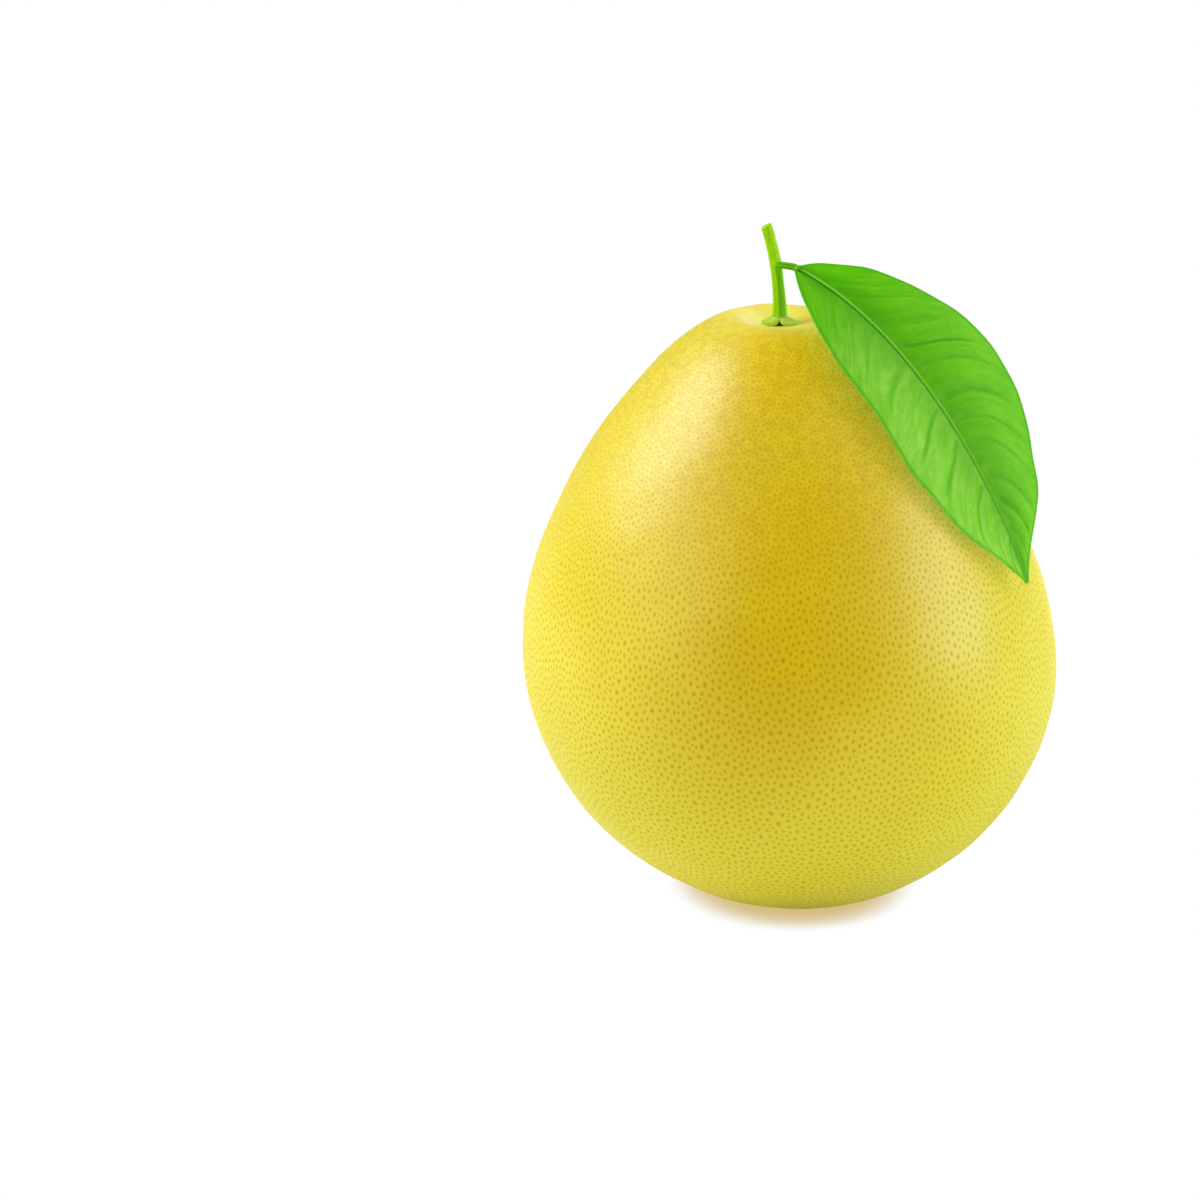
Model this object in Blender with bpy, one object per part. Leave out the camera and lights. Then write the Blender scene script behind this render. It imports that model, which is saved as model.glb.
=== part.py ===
# A pear-shaped pomelo that stands on a small flat spot, with its calyx, stalk and one leaf.
# Lengths are in metres. +Z runs up through the fruit, and the origin is the middle of the flat spot.
# Seen from -Y, the leaf hangs over the right shoulder (+X), towards the viewer.
import math

import bmesh
import bpy
import numpy as np

# Driving dimensions
GAP = 0.0003
FACET_ALLOWANCE = 1.1

# Fruit: half an ellipse below the equator, and a smooth neck and stalk hollow above it.
EQUATOR_RADIUS = 0.080
LOWER_SEMI_AXIS = 0.0765
REST_RADIUS = 0.017
NECK_POINTS = (
    (0.0750, 0.105),
    (0.0645, 0.128),
    (0.0535, 0.145),
    (0.0390, 0.162),
    (0.0215, 0.1768),
    (0.0130, 0.1796),
    (0.0070, 0.1781),
    (0.0012, 0.1775),
)
LEAN = -0.0075
LEAN_HEIGHT = 0.180
FRUIT_SEGMENTS = 64
LOWER_RINGS = 16
NECK_RINGS = 36
RINGS_TOWARDS_STALK = 1.7

# Calyx: a skirt of three blunt lobes round the stalk's foot. The lobes droop to the skin of the hollow,
# and the notches between them stand clear of it. One notch faces -Y.
CALYX_LOBES = 3
CALYX_NOTCH_TURN = math.radians(-90.0)
CALYX_LOBE_RADIUS = 0.0061
CALYX_NOTCH_RADIUS = 0.0029
CALYX_BUTTON_RADIUS = 0.0023
CALYX_LOBE_BLUNTNESS = 0.75
CALYX_RISE = 0.0024
CALYX_DROOP = 1.25
CALYX_LOBE_THICKNESS = 0.0007
CALYX_NOTCH_LIFT = 0.0010
CALYX_SEGMENTS = 48
CALYX_RINGS = 6

# Stalk: its middle line from the calyx to the slanting cut end, and its radius at each point.
STALK_POINTS = (
    (-0.0075, 0.0, 0.1810),
    (-0.0079, 0.0, 0.1871),
    (-0.0090, 0.0, 0.1955),
    (-0.0101, 0.0, 0.2005),
    (-0.0117, 0.0, 0.2061),
)
STALK_RADII = (0.0022, 0.00182, 0.00175, 0.00168, 0.00166)
STALK_RIDGES = 5
STALK_RIDGE_DEPTH = 0.07
STALK_RIDGE_FADE = 0.7
STALK_CUT_SLOPE = 0.16
STALK_SEGMENTS = 30
STALK_RINGS = 18

# Petiole: a short thin stalk from the side of the stalk to the leaf.
PETIOLE_HEIGHT = 0.1947
PETIOLE_SIDE = (0.72, -0.69, 0.0)
PETIOLE_RADII = (0.00098, 0.00115)
PETIOLE_SEGMENTS = 16
PETIOLE_RINGS = 8

# Leaf: a Bezier midrib, and a blade whose halves rise from the midrib and curl down towards the margins.
# Its half widths belong to the shares of the midrib in LEAF_SHARES, and the back half is towards +Y.
MIDRIB = (
    (-0.0026, -0.0020, 0.1943),
    (0.0295, -0.0183, 0.1817),
    (0.0541, -0.0296, 0.1421),
    (0.0658, -0.0350, 0.1102),
)
LEAF_SIDE_AT_PETIOLE = (0.53, 0.78, 0.34)
LEAF_SIDE_AT_TIP = (0.68, 0.72, 0.13)
LEAF_SHARES = (0.0, 0.02, 0.05, 0.10, 0.20, 0.30, 0.40, 0.50, 0.60, 0.70, 0.80, 0.90, 0.95, 1.0)
LEAF_BACK_WIDTHS = (
    0.0012, 0.0046, 0.0081, 0.0125, 0.0194, 0.0248, 0.0284,
    0.0289, 0.0264, 0.0215, 0.0162, 0.0070, 0.0030, 0.0004,
)
LEAF_FRONT_WIDTHS = (
    0.0012, 0.0038, 0.0073, 0.0120, 0.0192, 0.0230, 0.0243,
    0.0254, 0.0256, 0.0227, 0.0178, 0.0088, 0.0044, 0.0004,
)
LEAF_FOLD = math.radians(12.0)
LEAF_CURL = 0.13
LEAF_OPENS_OVER = 0.125
LEAF_THICKNESS = 0.0006
LEAF_EDGE_THICKNESS = 0.0004
RIB_DEPTH = 0.0012
RIB_HALF_WIDTH = 0.0018
RIB_TAPER = 0.8
LEAF_STATIONS = 34
LEAF_STATIONS_TOWARDS_ENDS = 0.5
HALF_LEAF_POINTS = 7


def unit(vector):
    return np.asarray(vector, float) / np.linalg.norm(vector)


def spline(points, shares, first_slope=None, last_slope=None):
    """Points on the smooth cubic curve through the given points, at these shares (0 to 1) of its length."""
    points = np.asarray(points, float)
    knots = np.concatenate([[0.0], np.cumsum(np.linalg.norm(np.diff(points, axis=0), axis=1))])
    step = np.diff(knots)
    size = len(points)
    system = np.zeros((size, size))
    right = np.zeros(points.shape)
    for i in range(1, size - 1):
        system[i, i - 1] = step[i]
        system[i, i] = 2.0 * (step[i - 1] + step[i])
        system[i, i + 1] = step[i - 1]
        rise_before = (points[i] - points[i - 1]) / step[i - 1]
        rise_after = (points[i + 1] - points[i]) / step[i]
        right[i] = 3.0 * (rise_before * step[i] + rise_after * step[i - 1])
    # An end with no given slope is left free of bending.
    if first_slope is None:
        system[0, :2] = (2.0, 1.0)
        right[0] = 3.0 * (points[1] - points[0]) / step[0]
    else:
        system[0, 0] = 1.0
        right[0] = first_slope
    if last_slope is None:
        system[-1, -2:] = (1.0, 2.0)
        right[-1] = 3.0 * (points[-1] - points[-2]) / step[-1]
    else:
        system[-1, -1] = 1.0
        right[-1] = last_slope
    slopes = np.linalg.solve(system, right)
    found = []
    for place in np.asarray(shares) * knots[-1]:
        i = min(int(np.searchsorted(knots, place, side="right")) - 1, size - 2)
        t = (place - knots[i]) / step[i]
        found.append(
            (2 * t**3 - 3 * t**2 + 1) * points[i]
            + (t**3 - 2 * t**2 + t) * step[i] * slopes[i]
            + (3 * t**2 - 2 * t**3) * points[i + 1]
            + (t**3 - t**2) * step[i] * slopes[i + 1]
        )
    return np.array(found)


def bezier(controls, t):
    """The point and the direction of a cubic Bezier at t."""
    a, b, c, d = (np.asarray(p, float) for p in controls)
    u = 1.0 - t
    point = u**3 * a + 3 * u * u * t * b + 3 * u * t * t * c + t**3 * d
    direction = u * u * (b - a) + 2 * u * t * (c - b) + t * t * (d - c)
    return point, unit(direction)


def material(name, colour, roughness):
    made = bpy.data.materials.new(name)
    made.use_nodes = True
    shader = made.node_tree.nodes["Principled BSDF"]
    shader.inputs["Base Color"].default_value = (*colour, 1.0)
    shader.inputs["Roughness"].default_value = roughness
    shader.inputs["Metallic"].default_value = 0.0
    made.diffuse_color = (*colour, 1.0)
    return made


def skin_over(name, rings, surface):
    """A closed solid through rings with equal numbers of points, with a flat face on each end ring."""
    mesh = bmesh.new()
    rows = [[mesh.verts.new(point) for point in ring] for ring in rings]
    for lower, upper in zip(rows, rows[1:]):
        for i in range(len(lower)):
            j = (i + 1) % len(lower)
            mesh.faces.new((lower[i], lower[j], upper[j], upper[i]))
    mesh.faces.new(rows[0][::-1])
    mesh.faces.new(rows[-1])
    bmesh.ops.recalc_face_normals(mesh, faces=mesh.faces)
    data = bpy.data.meshes.new(name)
    mesh.to_mesh(data)
    mesh.free()
    data.materials.append(surface)
    made = bpy.data.objects.new(name, data)
    bpy.context.scene.collection.objects.link(made)
    data.shade_smooth()
    data.set_sharp_from_angle(angle=math.radians(40.0))
    # Both end faces keep a sharp rim, so that they look flat.
    count = len(rings[0])
    for edge in data.edges:
        if max(edge.vertices) < count or min(edge.vertices) >= len(data.vertices) - count:
            edge.use_edge_sharp = True
    return made


def fruit_profile():
    """(radius, height) points from the edge of the flat spot to the middle of the stalk hollow."""
    equator = LOWER_SEMI_AXIS * math.sqrt(1.0 - (REST_RADIUS / EQUATOR_RADIUS) ** 2)
    start = -math.asin(equator / LOWER_SEMI_AXIS)
    below = []
    for angle in np.linspace(start, 0.0, LOWER_RINGS, endpoint=False):
        radius = EQUATOR_RADIUS * math.cos(angle)
        height = equator + LOWER_SEMI_AXIS * math.sin(angle)
        below.append((radius, height))
    below[0] = (REST_RADIUS, 0.0)
    # The rings crowd towards the stalk hollow, where the skin bends most.
    shares = 1.0 - np.linspace(1.0, 0.0, NECK_RINGS) ** RINGS_TOWARDS_STALK
    neck = spline(((EQUATOR_RADIUS, equator),) + NECK_POINTS, shares, (0.0, 1.0), (-1.0, 0.0))
    return np.vstack([below, neck])


def lean_at(height):
    """How far the leaning fruit's middle line is from the Z axis."""
    return LEAN * height / LEAN_HEIGHT


def hollow_height(radius):
    """Height of the skin in the stalk hollow, at a radius inside its rim."""
    profile = fruit_profile()
    rim = int(np.argmax(profile[:, 1]))
    inside = profile[rim:][::-1]
    return float(np.interp(radius, inside[:, 0], inside[:, 1]))


def build_fruit():
    turns = np.linspace(0.0, 2.0 * math.pi, FRUIT_SEGMENTS, endpoint=False)
    rings = []
    for radius, height in fruit_profile():
        ring = [(radius * math.cos(a) + lean_at(height), radius * math.sin(a), height) for a in turns]
        rings.append(ring)
    return skin_over("fruit", rings, material("fruit_skin", (0.85, 0.62, 0.05), 0.42))


def build_calyx():
    middle = lean_at(hollow_height(0.0))
    turns = np.linspace(0.0, 2.0 * math.pi, CALYX_SEGMENTS, endpoint=False)

    def ring(share, top):
        points = []
        for angle in turns:
            lobe = abs(math.sin((angle - CALYX_NOTCH_TURN) * CALYX_LOBES / 2.0)) ** CALYX_LOBE_BLUNTNESS
            edge = CALYX_NOTCH_RADIUS + (CALYX_LOBE_RADIUS - CALYX_NOTCH_RADIUS) * lobe
            radius = CALYX_BUTTON_RADIUS + (edge - CALYX_BUTTON_RADIUS) * share
            height = hollow_height(radius)
            if top:
                out = (radius - CALYX_BUTTON_RADIUS) / (CALYX_LOBE_RADIUS - CALYX_BUTTON_RADIUS)
                height += CALYX_LOBE_THICKNESS + CALYX_RISE * (1.0 - out**CALYX_DROOP)
            else:
                height += GAP * FACET_ALLOWANCE + CALYX_NOTCH_LIFT * (1.0 - lobe) ** 2 * share
            points.append((middle + radius * math.cos(angle), radius * math.sin(angle), height))
        return points

    shares = np.linspace(0.0, 1.0, CALYX_RINGS)
    under_side = [ring(share, False) for share in shares]
    top_side = [ring(share, True) for share in shares[::-1]]
    surface = material("calyx_green", (0.42, 0.58, 0.16), 0.55)
    return skin_over("calyx", under_side + top_side, surface)


def stalk_radius(height):
    """The stalk's radius, without its ridges, at a height."""
    points = [(z, radius) for (_, _, z), radius in zip(STALK_POINTS, STALK_RADII)]
    smooth = spline(points, np.linspace(0.0, 1.0, 40))
    return float(np.interp(height, smooth[:, 0], smooth[:, 1]))


def build_stalk():
    line = spline(STALK_POINTS, np.linspace(0.0, 1.0, STALK_RINGS), (0.0, 0.0, 1.0))
    turns = np.linspace(0.0, 2.0 * math.pi, STALK_SEGMENTS, endpoint=False)
    directions = np.gradient(line, axis=0)
    rings = []
    for i, centre in enumerate(line):
        share = i / (STALK_RINGS - 1)
        direction = unit(directions[i])
        if i == 0:
            direction = np.array((0.0, 0.0, 1.0))
        forward = np.array((0.0, 1.0, 0.0))
        across = unit(np.cross(forward, direction))
        radius = stalk_radius(centre[2])
        ring = []
        for angle in turns:
            ridge = STALK_RIDGE_DEPTH * (1.0 - STALK_RIDGE_FADE * share)
            reach = radius * (1.0 + ridge * math.cos(STALK_RIDGES * angle))
            point = centre + reach * (math.cos(angle) * across + math.sin(angle) * forward)
            if i == STALK_RINGS - 1:
                point = point + direction * STALK_CUT_SLOPE * reach * math.cos(angle)
            ring.append(point)
        rings.append(ring)
    return skin_over("stalk", rings, material("stalk_green", (0.24, 0.45, 0.02), 0.45))


def stalk_at(height):
    """The middle, the direction and the radius of the stalk at a height."""
    line = spline(STALK_POINTS, np.linspace(0.0, 1.0, 60), (0.0, 0.0, 1.0))
    i = int(np.searchsorted(line[:, 2], height))
    direction = unit(line[i] - line[i - 1])
    middle = line[i] + direction * (height - line[i][2]) / direction[2]
    return middle, direction, stalk_radius(height)


def build_petiole():
    middle, stalk_direction, radius = stalk_at(PETIOLE_HEIGHT)
    outwards = np.asarray(PETIOLE_SIDE, float)
    outwards = unit(outwards - stalk_direction * np.dot(outwards, stalk_direction))
    # The ridges of the stalk stand out, so the gap is counted from their crests.
    start = middle + outwards * (radius * (1.0 + STALK_RIDGE_DEPTH) + GAP)
    leaf_start, leaf_direction = bezier(MIDRIB, 0.0)
    end = leaf_start - leaf_direction * GAP
    reach = np.linalg.norm(end - start) / 3.0
    controls = (start, start + outwards * reach, end - leaf_direction * reach, end)
    turns = np.linspace(0.0, 2.0 * math.pi, PETIOLE_SEGMENTS, endpoint=False)
    rings = []
    for t in np.linspace(0.0, 1.0, PETIOLE_RINGS):
        centre, direction = bezier(controls, t)
        across = unit(np.cross(direction, (0.0, 0.0, 1.0)))
        upwards = np.cross(across, direction)
        thick = PETIOLE_RADII[0] + (PETIOLE_RADII[1] - PETIOLE_RADII[0]) * t
        rings.append([centre + thick * (math.cos(a) * across + math.sin(a) * upwards) for a in turns])
    return skin_over("petiole", rings, material("petiole_green", (0.12, 0.42, 0.02), 0.42))


def leaf_half_widths(stations):
    """Half the blade's width at each share of the midrib, for its back and its front half."""
    found = []
    for widths in (LEAF_BACK_WIDTHS, LEAF_FRONT_WIDTHS):
        curve = spline(list(zip(LEAF_SHARES, widths)), np.linspace(0.0, 1.0, 400))
        found.append(np.interp(stations, curve[:, 0], curve[:, 1]))
    return found


def build_leaf():
    # The points across the blade crowd towards the midrib, so that the rib below it keeps its shape.
    half_across = np.linspace(0.0, 1.0, HALF_LEAF_POINTS + 1)[1:] ** 1.4
    across = np.concatenate([-half_across[::-1], [0.0], half_across])
    even = np.linspace(0.0, 1.0, LEAF_STATIONS)
    crowded = (1.0 - np.cos(math.pi * even)) / 2.0
    stations = even + (crowded - even) * LEAF_STATIONS_TOWARDS_ENDS
    rings = []
    for t, back_half, front_half in zip(stations, *leaf_half_widths(stations)):
        centre, direction = bezier(MIDRIB, t)
        side = np.asarray(LEAF_SIDE_AT_PETIOLE) * (1.0 - t) + np.asarray(LEAF_SIDE_AT_TIP) * t
        side = unit(side - direction * np.dot(side, direction))
        upwards = np.cross(direction, side)
        opening = min(1.0, t / LEAF_OPENS_OVER)
        top = []
        bottom = []
        for v in across:
            half = back_half if v > 0.0 else front_half
            rise = math.tan(LEAF_FOLD) * abs(v) - LEAF_CURL * abs(v) ** 2.5
            point = centre + half * (v * math.cos(LEAF_FOLD) * side + opening * rise * upwards)
            thick = LEAF_THICKNESS + (LEAF_EDGE_THICKNESS - LEAF_THICKNESS) * abs(v)
            rib = RIB_DEPTH * (1.0 - RIB_TAPER * t)
            thick += rib * max(0.0, 1.0 - abs(v) * half / RIB_HALF_WIDTH)
            top.append(point)
            bottom.append(point - upwards * thick)
        rings.append(top + bottom[::-1])
    return skin_over("leaf_blade", rings, material("leaf_green", (0.09, 0.38, 0.01), 0.38))


for old in list(bpy.data.objects):
    bpy.data.objects.remove(old, do_unlink=True)

build_fruit()
build_calyx()
build_stalk()
build_petiole()
build_leaf()
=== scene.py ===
# The looks of the pear-shaped pomelo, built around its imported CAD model.
# Lengths are in metres. +Z runs up through the fruit. The leaf hangs over its +X shoulder, and
# its upper face is turned to -Y.
import math

import bpy
import numpy as np
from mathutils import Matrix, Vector
from mathutils.geometry import delaunay_2d_cdt


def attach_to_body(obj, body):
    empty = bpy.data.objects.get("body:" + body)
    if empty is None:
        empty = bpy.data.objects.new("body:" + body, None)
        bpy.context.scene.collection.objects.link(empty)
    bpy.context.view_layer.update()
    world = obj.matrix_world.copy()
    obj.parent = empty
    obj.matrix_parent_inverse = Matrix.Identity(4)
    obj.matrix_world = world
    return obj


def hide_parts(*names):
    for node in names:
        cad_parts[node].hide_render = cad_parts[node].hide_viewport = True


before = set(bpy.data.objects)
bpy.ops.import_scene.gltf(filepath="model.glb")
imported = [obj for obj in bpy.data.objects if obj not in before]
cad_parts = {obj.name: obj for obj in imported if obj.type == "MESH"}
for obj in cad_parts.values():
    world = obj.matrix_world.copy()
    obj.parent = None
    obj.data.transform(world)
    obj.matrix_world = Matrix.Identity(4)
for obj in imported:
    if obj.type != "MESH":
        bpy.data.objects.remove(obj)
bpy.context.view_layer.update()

# Fruit: the CAD model's own outline, half an ellipse below and a smooth neck and stalk hollow above.
EQUATOR_RADIUS = 0.080
LOWER_SEMI_AXIS = 0.0765
REST_RADIUS = 0.017
NECK_POINTS = (
    (0.0750, 0.105),
    (0.0645, 0.128),
    (0.0535, 0.145),
    (0.0390, 0.162),
    (0.0215, 0.1768),
    (0.0130, 0.1796),
    (0.0070, 0.1781),
    (0.0012, 0.1775),
)
LEAN = -0.0075
LEAN_HEIGHT = 0.180

# Oil glands of the rind
GLANDS = 24500
NECK_CROWDING = 1.2
NECK_CROWDING_HEIGHTS = (0.095, 0.165)
GLAND_JITTER = 0.35
GLAND_RELAX_ROUNDS = 3
GLAND_RELAX_SHARE = 0.6
GLAND_SIZES = (0.84, 1.0)
PIT_DEPTH = 0.00008
STALK_BARE_RADIUS = 0.009
STALK_FADE_RADIUS = 0.027
BROAD_WAVES = (0.045, 0.00035)
FINE_WAVES = (0.013, 0.00007)
CREASE_COUNT = 7
CREASE_DEPTH = 0.00010
CREASE_HEIGHTS = (0.150, 0.170)
CREASE_START_RADII = (0.004, 0.010)
CREASE_END_RADII = (0.014, 0.030)
REST_BLEND_HEIGHT = 0.003
# Above this height a small radius means the hollow round the stalk, and not the flat spot.
SHOULDER_HEIGHT = 0.150

# Colours of the rind: where it is riper, less ripe, greener at its foot, bare or scarred, with painted
# light and shade mixed in.
# A turn is an angle round the fruit from +X, towards +Y.
# The golden band centred on -Y is partly riper rind and partly painted shade on that side.
RIPE_AND_SHADE_TURN = math.radians(-90.0)
RIPE_AND_SHADE_SPREAD = math.radians(34.0)
RIPE_BACK_TURN = math.radians(115.0)
RIPE_BACK_SHARE = 0.75
RIPE_AND_SHADE_LOSS_AT_FOOT = 0.7
# The paler, greener, bluer band towards +X is partly less ripe rind and partly painted light from the
# right-hand lamp.
UNRIPE_AND_LIT_TURN = math.radians(-12.0)
UNRIPE_AND_LIT_SPREAD = math.radians(60.0)
UNRIPE_AND_LIT_FADE_HEIGHTS = (0.095, 0.140)
UNRIPE_AND_LIT_FADE = 0.8
UNRIPE_AND_LIT_AT_FOOT = 0.6
# The greener, bluer tint at the foot is partly the rind's own and partly painted light from below.
FOOT_HEIGHTS = (0.020, 0.105)
FOOT_TINT = 0.45
# Near the stalk the pale bare rind is thinned towards +X, as painted shadow of the leaf.
BLOOM_SHADOW_TURN = math.radians(-15.0)
BLOOM_SHADOW_SHARE = 0.5
# Near-black painted shade round the stalk's foot, seen in the notch under the calyx; the style scar
# below is the rind's own.
STALK_SHADE_RADII = (0.0030, 0.0040)
STYLE_SCAR_RADII = (0.0012, 0.0030)
STYLE_SCAR_HEIGHT = 0.02

# Calyx
CALYX_LOBES = 3
CALYX_NOTCH_TURN = math.radians(-90.0)
CALYX_LOBE_RADIUS = 0.0059
CALYX_NOTCH_RADIUS = 0.0023
CALYX_BUTTON_RADIUS = 0.0018
CALYX_LOBE_BLUNTNESS = 0.85
CALYX_RISE = 0.0023
CALYX_DROOP = 0.72
CALYX_LOBE_THICKNESS = 0.0002
CALYX_NOTCH_LIFT = 0.0015
CALYX_UNDERSIDE = -0.00050

# Stalk
STALK_POINTS = (
    (-0.0075, 0.0, 0.1798),
    (-0.0079, 0.0, 0.1871),
    (-0.0090, 0.0, 0.1955),
    (-0.0101, 0.0, 0.2005),
    (-0.0117, 0.0, 0.2061),
)
STALK_RADII = (0.0022, 0.00182, 0.00175, 0.00168, 0.00166)
STALK_RIDGES = 5
STALK_RIDGE_DEPTH = 0.06
STALK_RIDGE_FADE = 0.7
STALK_BAND_TWIST = 0.32
STALK_CUT_SLOPE = 0.16
STALK_FOOT_HEIGHT = 0.0016
STALK_FOOT_SPREAD = 0.0001
STALK_BAND_HEIGHT = 0.00012
# Rings of the cut face: share of its radius, rise above the cut, and how pale the wood is.
STALK_CUT_RINGS = (
    (0.93, 0.00016, 0.25),
    (0.80, 0.00024, 1.0),
    (0.45, 0.00020, 1.0),
    (0.20, 0.00010, 0.6),
)
NODE_SWELL = 0.00028
NODE_SWELL_LENGTH = 0.0022

# Petiole
PETIOLE_HEIGHT = 0.1947
PETIOLE_SIDE = (0.72, -0.69, 0.0)
PETIOLE_RADII = (0.00098, 0.00115)
PETIOLE_FOOT_SPREAD = 0.0004
PETIOLE_FOOT_SHARE = 0.3
PETIOLE_RIDGES = 6.0

# Leaf
MIDRIB = (
    (-0.0026, -0.0020, 0.1943),
    (0.0295, -0.0183, 0.1817),
    (0.0541, -0.0296, 0.1421),
    (0.0658, -0.0350, 0.1102),
)
LEAF_SIDE_AT_PETIOLE = (0.53, 0.78, 0.34)
LEAF_SIDE_AT_TIP = (0.68, 0.72, 0.13)
LEAF_SHARES = (0.0, 0.02, 0.05, 0.10, 0.20, 0.30, 0.40, 0.50, 0.60, 0.70, 0.80, 0.90, 0.95, 1.0)
LEAF_BACK_WIDTHS = (
    0.0012, 0.0046, 0.0081, 0.0125, 0.0194, 0.0248, 0.0284,
    0.0289, 0.0264, 0.0215, 0.0162, 0.0070, 0.0030, 0.0004,
)
LEAF_FRONT_WIDTHS = (
    0.0012, 0.0038, 0.0073, 0.0120, 0.0192, 0.0230, 0.0243,
    0.0254, 0.0256, 0.0227, 0.0178, 0.0088, 0.0044, 0.0004,
)
LEAF_FOLD = math.radians(12.0)
LEAF_CURL = 0.13
LEAF_OPENS_OVER = 0.125
LEAF_THICKNESS = 0.0006
LEAF_EDGE_THICKNESS = 0.0004
RIB_DEPTH = 0.0012
RIB_HALF_WIDTH = 0.0018
RIB_TAPER = 0.8
LEAF_STATIONS = 280
LEAF_STATIONS_TOWARDS_ENDS = 0.5
HALF_LEAF_POINTS = 56
VEIN_PAIRS = 13
VEIN_REACH = (0.07, 0.08)
VEIN_DEPTH = 0.00020
VEIN_WIDTH = 0.11
QUILT_DEPTH = 0.00045
QUILT_WIDTH = 0.28
GROOVE_DEPTH = 0.00016
GROOVE_HALF_WIDTH = 0.0006
MARGIN_WAVE = 0.00018
# Where half of the blade is narrower than this, the relief fades with its width.
FULL_RELIEF_WIDTH = 0.013

# Camera: it looks down a little on the fruit, which stands right of the middle of its view
CAMERA_PLACE = (0.0, -0.95207, 0.41714)
CAMERA_DIRECTION = (-0.05961, 0.94413, -0.32414)
CAMERA_LENS = 100.0
CAMERA_SENSOR = 36.0

FLOOR_RADIUS = 1.1
FLOOR_PAPER = (0.92, 0.88, 0.50, 1.0)
FLOOR_SHADE = (0.66, 0.50, 0.20)
FLOOR_SHADE_REACH = 0.009
FLOOR_SHADE_RANGE = (0.05, 0.70)

# Lights: name, azimuth and elevation in degrees, distance, width, height, power, casts shadows
LIGHTS = (
    ("key_left", -97.0, 44.0, 1.1, 0.65, 0.65, 8.8, True),
    ("front_left", -48.0, 22.0, 1.4, 0.90, 0.90, 2.7, True),
    ("fill_right", 79.0, 16.0, 1.1, 0.65, 0.65, 4.8, False),
    ("top_right", 105.0, 42.0, 1.2, 0.60, 0.60, 2.5, True),
    ("back_right", 158.0, 14.0, 1.1, 0.60, 0.50, 4.2, True),
)
LIGHTS_AIM = (0.0, 0.0, 0.09)
WORLD_FILL = (1.0, 0.90, 0.32, 1.0)
WORLD_FILL_STRENGTH = 0.36

SEED = 7


# --- Shared geometry ---------------------------------------------------------------------------

def unit(vectors):
    """The vectors at length 1."""
    vectors = np.asarray(vectors, float)
    return vectors / np.linalg.norm(vectors, axis=-1, keepdims=True)


def smooth_step(values, low, high):
    """0 below low and 1 above high, with a smooth rise between them."""
    share = np.clip((values - low) / (high - low), 0.0, 1.0)
    return share * share * (3.0 - 2.0 * share)


def turned_away(turns, middle):
    """How far each turn is from the middle one, either way round, from 0 to pi."""
    return np.abs((turns - middle + math.pi) % (2.0 * math.pi) - math.pi)


def bell(values, width):
    """1 at 0, falling off smoothly on both sides over about this width."""
    return np.exp(-((values / width) ** 2))


def spline(points, shares, first_slope=None, last_slope=None):
    """Points on the smooth cubic curve through these points, at shares (0 to 1) of its length."""
    points = np.asarray(points, float)
    knots = np.concatenate([[0.0], np.cumsum(np.linalg.norm(np.diff(points, axis=0), axis=1))])
    step = np.diff(knots)
    size = len(points)
    system = np.zeros((size, size))
    right = np.zeros(points.shape)
    for i in range(1, size - 1):
        system[i, i - 1] = step[i]
        system[i, i] = 2.0 * (step[i - 1] + step[i])
        system[i, i + 1] = step[i - 1]
        rise_before = (points[i] - points[i - 1]) / step[i - 1]
        rise_after = (points[i + 1] - points[i]) / step[i]
        right[i] = 3.0 * (rise_before * step[i] + rise_after * step[i - 1])
    # An end with no given slope is left free of bending.
    if first_slope is None:
        system[0, :2] = (2.0, 1.0)
        right[0] = 3.0 * (points[1] - points[0]) / step[0]
    else:
        system[0, 0] = 1.0
        right[0] = first_slope
    if last_slope is None:
        system[-1, -2:] = (1.0, 2.0)
        right[-1] = 3.0 * (points[-1] - points[-2]) / step[-1]
    else:
        system[-1, -1] = 1.0
        right[-1] = last_slope
    slopes = np.linalg.solve(system, right)
    places = np.asarray(shares) * knots[-1]
    i = np.clip(np.searchsorted(knots, places, side="right") - 1, 0, size - 2)
    t = ((places - knots[i]) / step[i])[:, None]
    reach = step[i][:, None]
    start = (2 * t**3 - 3 * t**2 + 1) * points[i] + (t**3 - 2 * t**2 + t) * reach * slopes[i]
    end = (3 * t**2 - 2 * t**3) * points[i + 1] + (t**3 - t**2) * reach * slopes[i + 1]
    return start + end


def bezier(controls, t):
    """Points and directions of a cubic Bezier at each t."""
    a, b, c, d = (np.asarray(p, float) for p in controls)
    t = np.asarray(t, float)[:, None]
    u = 1.0 - t
    points = u**3 * a + 3 * u * u * t * b + 3 * u * t * t * c + t**3 * d
    directions = u * u * (b - a) + 2 * u * t * (c - b) + t * t * (d - c)
    return points, unit(directions)


def waves(points, length, seed, count=14):
    """Smooth, seeded irregularity between about -1 and 1, with features about one length across."""
    rng = np.random.default_rng(seed)
    directions = unit(rng.normal(size=(count, 3)))
    speeds = 2.0 * math.pi / (length * rng.uniform(0.75, 1.5, count))
    phases = rng.uniform(0.0, 2.0 * math.pi, count)
    total = np.zeros(len(points))
    for direction, speed, phase in zip(directions, speeds, phases):
        total += np.sin(points @ direction * speed + phase)
    return total / math.sqrt(count)


def mesh_object(name, points, faces, surface, attributes=(), sharp_angle=None):
    """A smooth-shaded mesh piece with a value at each vertex for each named attribute."""
    data = bpy.data.meshes.new(name)
    data.from_pydata(np.asarray(points).tolist(), [], [list(map(int, face)) for face in faces])
    for label, values in dict(attributes).items():
        layer = data.attributes.new(label, "FLOAT", "POINT")
        layer.data.foreach_set("value", np.asarray(values, np.float32))
    data.materials.append(surface)
    data.shade_smooth()
    if sharp_angle is not None:
        data.set_sharp_from_angle(angle=math.radians(sharp_angle))
    made = bpy.data.objects.new(name, data)
    bpy.context.scene.collection.objects.link(made)
    return made


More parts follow.
